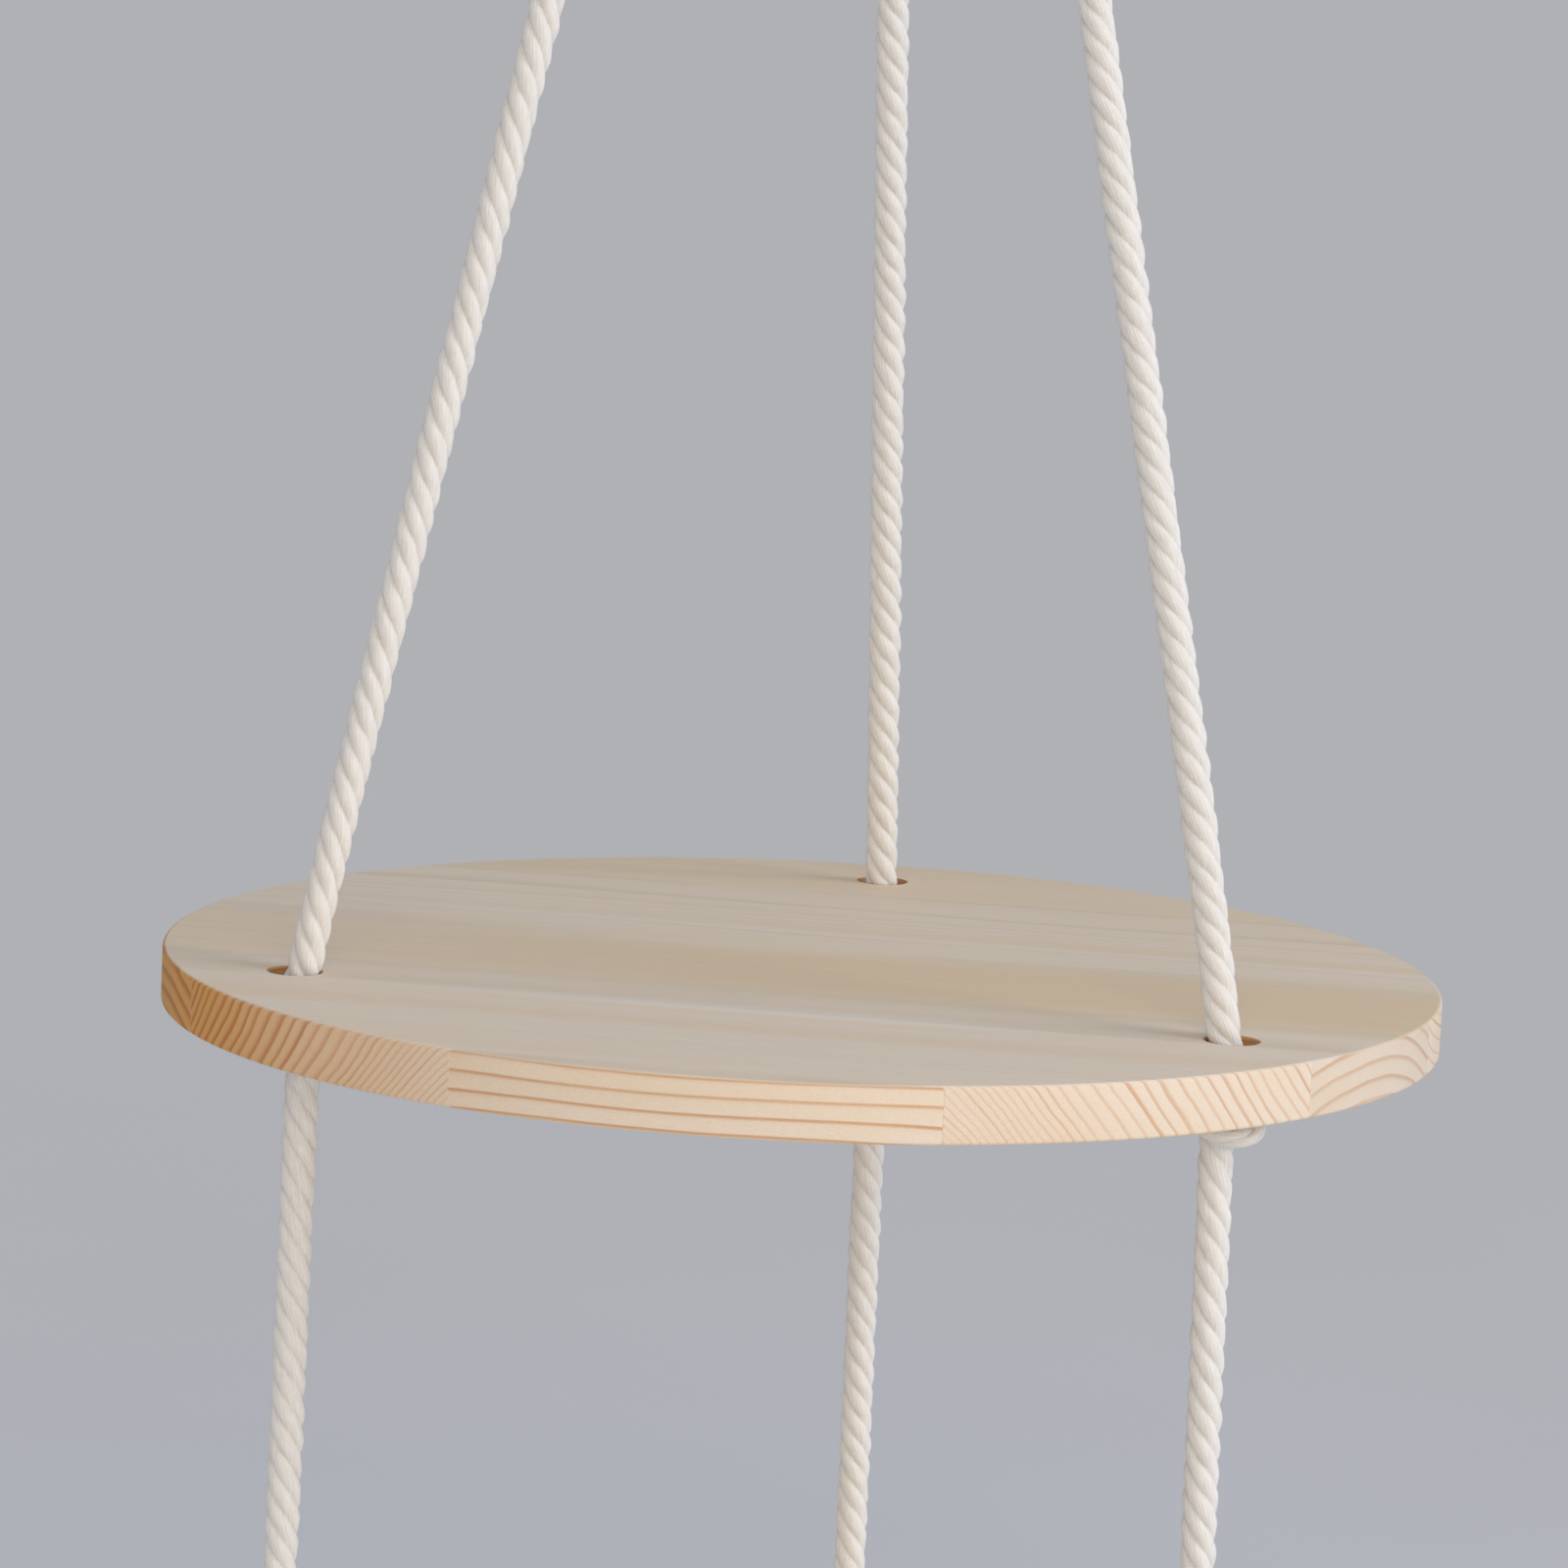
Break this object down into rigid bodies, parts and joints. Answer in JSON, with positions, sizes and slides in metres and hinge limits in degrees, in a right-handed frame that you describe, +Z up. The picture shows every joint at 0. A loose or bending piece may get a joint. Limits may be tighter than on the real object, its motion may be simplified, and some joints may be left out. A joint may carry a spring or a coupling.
{
  "type": "hanging rope shelf",
  "caption": "Round pine boards hung one above the other on cotton ropes, which pass through holes near their rims, end in stopper knots and gather under a steel ring.",
  "frame": {"origin": "inside top of the hanging ring, where the hook bears", "axes": "+Z up along the hanging line, +X to the right along the boards' grain, -Y to the front"},
  "size_m": [0.3, 0.3, 0.9222],
  "materials": {
    "ring_steel": "satin",
    "rope_cotton": "matte",
    "whipping_cotton": "matte",
    "board_pine": "satin"
  },
  "bodies": {
    "ring": {"hanging_ring": "ring_steel"},
    "hanger": {"rope_bight_back": "rope_cotton", "rope_bight_left": "rope_cotton", "rope_bight_right": "rope_cotton", "whipping_cord": "whipping_cotton"},
    "upper_tier": {"rope_upper_back": "rope_cotton", "rope_upper_left": "rope_cotton", "rope_upper_right": "rope_cotton", "knot_upper_back": "rope_cotton", "knot_upper_left": "rope_cotton", "knot_upper_right": "rope_cotton", "upper_board_stave_1": "board_pine", "upper_board_stave_2": "board_pine", "upper_board_stave_3": "board_pine", "upper_board_stave_4": "board_pine", "upper_board_stave_5": "board_pine", "upper_board_stave_6": "board_pine"},
    "lower_rope_back": {"rope_lower_back": "rope_cotton"},
    "lower_rope_left": {"rope_lower_left": "rope_cotton"},
    "lower_rope_right": {"rope_lower_right": "rope_cotton"},
    "lower_tier": {"knot_lower_back": "rope_cotton", "knot_lower_left": "rope_cotton", "knot_lower_right": "rope_cotton", "lower_board_stave_1": "board_pine", "lower_board_stave_2": "board_pine", "lower_board_stave_3": "board_pine", "lower_board_stave_4": "board_pine", "lower_board_stave_5": "board_pine", "lower_board_stave_6": "board_pine"}
  },
  "joints": [
    {"name": "swing", "type": "hinge", "parent": "ring", "child": "hanger", "pos_m": [0, 0, -0.053], "axis": [1, 0, 0], "range_deg": [-20, 20]},
    {"name": "twist", "type": "hinge", "parent": "hanger", "child": "upper_tier", "pos_m": [0, 0, -0.11325], "axis": [0, 0, 1], "range_deg": [-45, 45], "stiffness_Nm_per_rad": 0.023},
    {"name": "side_sway", "type": "hinge", "parent": "upper_tier", "child": "lower_rope_back", "pos_m": [0, 0.1215, -0.66068], "axis": [0, 1, 0], "range_deg": [-8, 8]},
    {"name": "left_rope_sway", "type": "hinge", "parent": "upper_tier", "child": "lower_rope_left", "pos_m": [-0.10522, -0.06075, -0.66068], "axis": [0, 1, 0], "range_deg": [-8, 8]},
    {"name": "right_rope_sway", "type": "hinge", "parent": "upper_tier", "child": "lower_rope_right", "pos_m": [0.10522, -0.06075, -0.66068], "axis": [0, 1, 0], "range_deg": [-8, 8]},
    {"name": "lower_board_level", "type": "hinge", "parent": "lower_rope_back", "child": "lower_tier", "pos_m": [0, 0.124, -0.8785], "axis": [0, 1, 0], "range_deg": [-8, 8]}
  ],
  "couplings": [
    {"joint": "left_rope_sway", "follows": "side_sway", "ratio": 1},
    {"joint": "right_rope_sway", "follows": "side_sway", "ratio": 1},
    {"joint": "lower_board_level", "follows": "side_sway", "ratio": -1}
  ]
}
